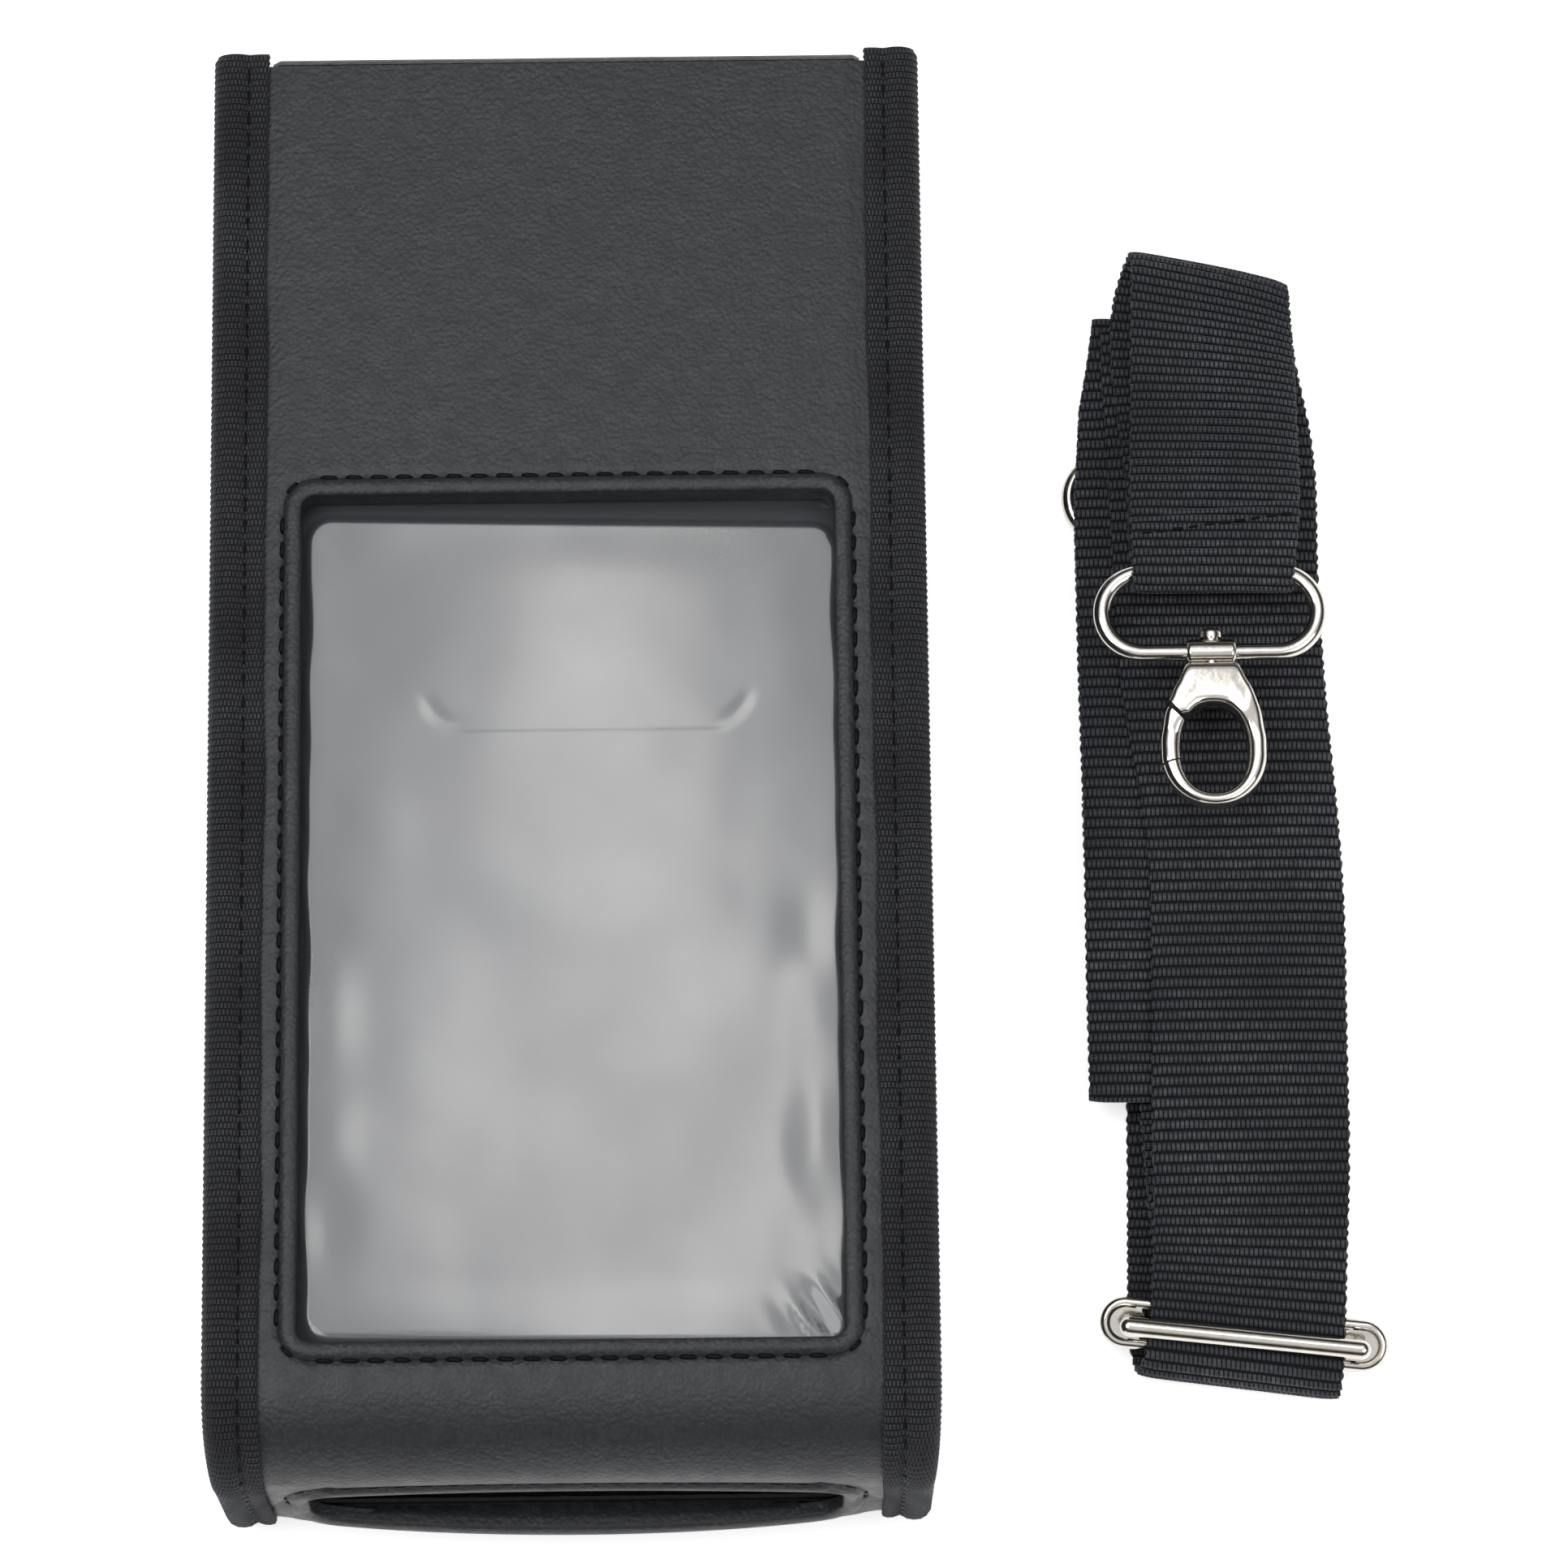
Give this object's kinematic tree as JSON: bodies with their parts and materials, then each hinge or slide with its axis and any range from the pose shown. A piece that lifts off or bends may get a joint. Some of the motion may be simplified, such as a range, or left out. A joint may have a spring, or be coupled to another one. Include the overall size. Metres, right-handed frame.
{
  "type": "leather window case with shoulder strap",
  "caption": "Leather carrying case with a clear front window, bottom slot, top flap and side D-rings, with a folded clip-on webbing shoulder strap lying beside it.",
  "frame": {"origin": "on the padded back's rest face, midway across the case and midway between its flap end and its bottom; the case lies on its back", "axes": "+Z out of the window, +Y towards the flap end, +X to the case's right, where the folded strap lies"},
  "size_m": [0.1539, 0.193, 0.0407],
  "materials": {
    "leather": "fine pebble grain, satin",
    "binding_tape": "ribbed grosgrain",
    "webbing": "ribbed woven polyester",
    "lining": "brushed knit",
    "hook_and_loop": "matt pile",
    "foam": "matt closed cell",
    "board": "matt",
    "clear_film": "clear flexible film, glossy",
    "nickel": "polished nickel plate",
    "spring_steel": "drawn wire"
  },
  "bodies": {
    "case": {"front_leather": "leather", "back_leather": "leather", "back_pad_leather": "leather", "back_pad_foam": "foam", "back_board": "board", "back_lining": "lining", "loop_pad": "hook_and_loop", "front_foam": "foam", "front_lining": "lining", "window_backing": "leather", "window_film": "clear_film", "window_lip": "leather", "bottom_lining": "lining", "slot_facing": "leather", "gusset_right": "leather", "gusset_lining_right": "lining", "tape_right": "binding_tape", "ring_tab_right": "leather", "tab_rivet_right": "nickel", "gusset_left": "leather", "gusset_lining_left": "lining", "tape_left": "binding_tape", "ring_tab_left": "leather", "tab_rivet_left": "nickel"},
    "flap": {"flap_leather": "leather", "flap_lining": "lining", "hook_pad": "hook_and_loop"},
    "dee_right": {"d_ring_right": "nickel"},
    "dee_left": {"d_ring_left": "nickel"},
    "strap": {"webbing_lower_run": "webbing", "webbing_inner_run": "webbing", "webbing_rear": "webbing", "webbing_upper_loop": "webbing"},
    "slider": {"slider_frame": "nickel", "slider_bar": "nickel", "slider_webbing": "webbing"},
    "ring_front_swivel": {"ring_front": "nickel"},
    "hook_front": {"swivel_pin_front": "nickel", "hook_body_front": "nickel", "gate_pin_front": "nickel", "gate_spring_front": "spring_steel"},
    "hook_front_gate": {"gate_front": "nickel"},
    "ring_rear_swivel": {"ring_rear": "nickel"},
    "hook_rear": {"swivel_pin_rear": "nickel", "hook_body_rear": "nickel", "gate_pin_rear": "nickel", "gate_spring_rear": "spring_steel"},
    "hook_rear_gate": {"gate_rear": "nickel"}
  },
  "joints": [
    {"name": "flap_hinge", "type": "hinge", "parent": "case", "child": "flap", "pos_m": [0, 0.09445, 0.04], "axis": [1, 0, 0], "range_deg": [0, 160]},
    {"name": "dee_right_swing", "type": "hinge", "parent": "case", "child": "dee_right", "pos_m": [0.0428, 0.074, 0.021], "axis": [0, 0, -1], "range_deg": [0, 150]},
    {"name": "dee_left_swing", "type": "hinge", "parent": "case", "child": "dee_left", "pos_m": [-0.0428, 0.074, 0.021], "axis": [0, 0, 1], "range_deg": [0, 150]},
    {"name": "strap_lift", "type": "slide", "parent": "case", "child": "strap", "axis": [0, 0, 1], "range_m": [0, 0.1]},
    {"name": "slider_slide", "type": "slide", "parent": "strap", "child": "slider", "axis": [0, 0.9998, 0.02], "range_m": [0, 0.018]},
    {"name": "ring_front_swing", "type": "hinge", "parent": "strap", "child": "ring_front_swivel", "pos_m": [0.0854, 0.029, 0.0174], "axis": [-1, 0, 0], "range_deg": [0, 95]},
    {"name": "hook_front_swivel_turn", "type": "hinge", "parent": "ring_front_swivel", "child": "hook_front", "pos_m": [0.0854, 0.0178, 0.0174], "axis": [0, 1, 0], "continuous": true},
    {"name": "gate_front_pivot", "type": "hinge", "parent": "hook_front", "child": "hook_front_gate", "pos_m": [0.0811, 0.0102, 0.0174], "axis": [0, 0, 1], "range_deg": [0, 24], "stiffness_Nm_per_rad": 0.01},
    {"name": "ring_rear_swing", "type": "hinge", "parent": "strap", "child": "ring_rear_swivel", "pos_m": [0.0821, 0.0387, 0.0026], "axis": [-1, 0, 0], "range_deg": [0, 90]},
    {"name": "hook_rear_swivel_turn", "type": "hinge", "parent": "ring_rear_swivel", "child": "hook_rear", "pos_m": [0.0821, 0.0499, 0.0026], "axis": [0, 1, 0], "range_deg": [-15, 15]},
    {"name": "gate_rear_pivot", "type": "hinge", "parent": "hook_rear", "child": "hook_rear_gate", "pos_m": [0.0864, 0.0575, 0.0026], "axis": [0, 0, 1], "range_deg": [0, 24], "stiffness_Nm_per_rad": 0.01}
  ]
}
